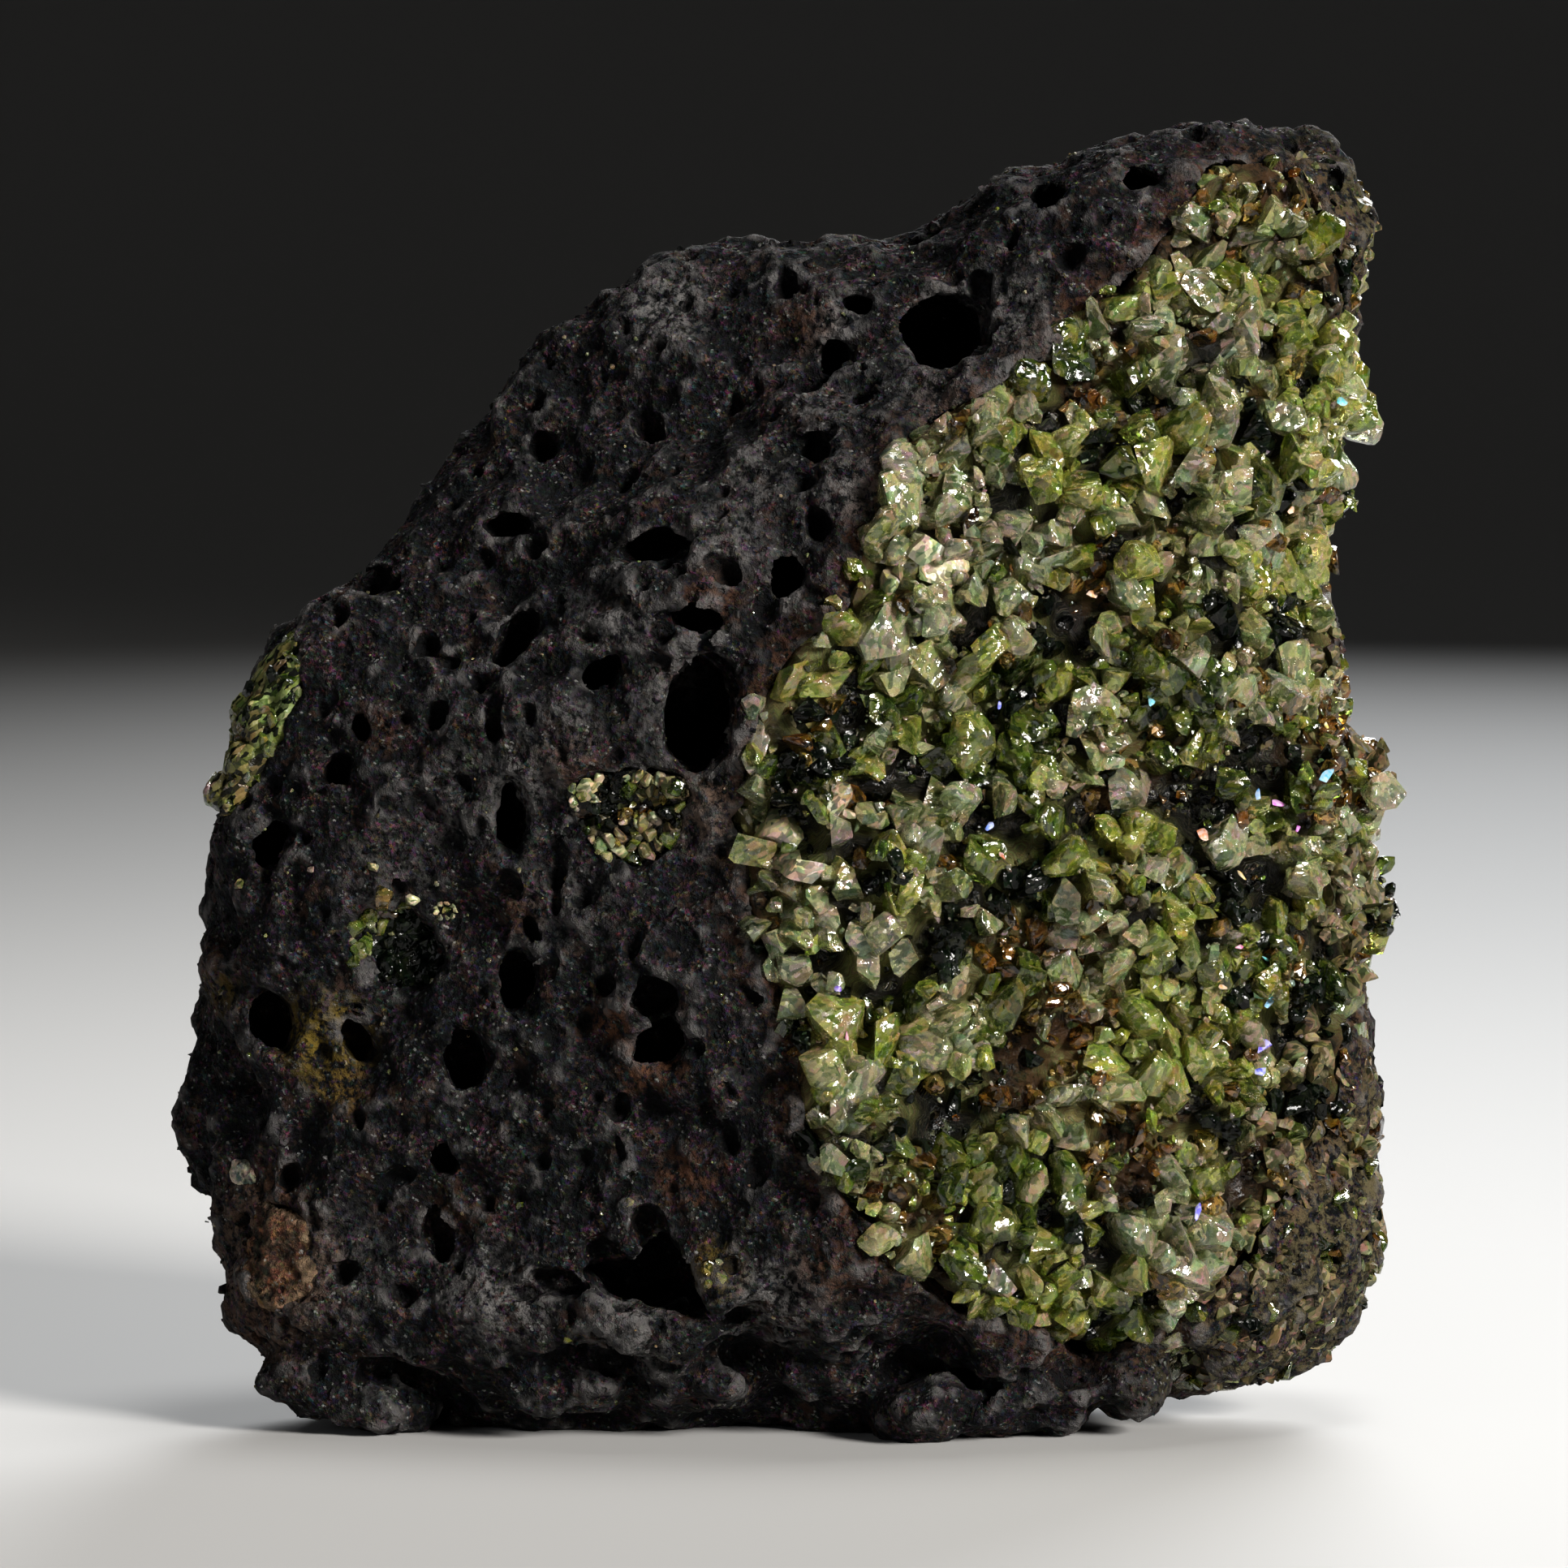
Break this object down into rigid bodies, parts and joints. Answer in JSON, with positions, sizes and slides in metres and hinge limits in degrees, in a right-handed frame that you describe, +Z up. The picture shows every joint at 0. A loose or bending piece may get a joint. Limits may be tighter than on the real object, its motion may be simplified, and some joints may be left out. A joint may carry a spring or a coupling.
{
  "type": "peridot crystal specimen",
  "caption": "Block of vesicular basalt holding a granular nodule of intergrown green peridot crystals, standing upright as a hand specimen.",
  "frame": {"origin": "middle of the bounding box, on the ground", "axes": "+Z up, -Y towards the face with the nodule, +X to the right seen from there"},
  "size_m": [0.0702, 0.0406, 0.0739],
  "materials": {
    "basalt": "matte",
    "peridot": "glassy, granular",
    "dark_peridot": "glassy, granular",
    "brown_mineral": "matte",
    "pale_mineral": "matte"
  },
  "bodies": {
    "root": {"basalt_block": "basalt", "peridot_nodule": "peridot", "side_peridot_cluster": "peridot", "small_peridot_cluster": "peridot", "pocket_peridot_cluster": "dark_peridot", "tan_inclusion": "brown_mineral", "pale_grain": "pale_mineral"}
  },
  "joints": []
}
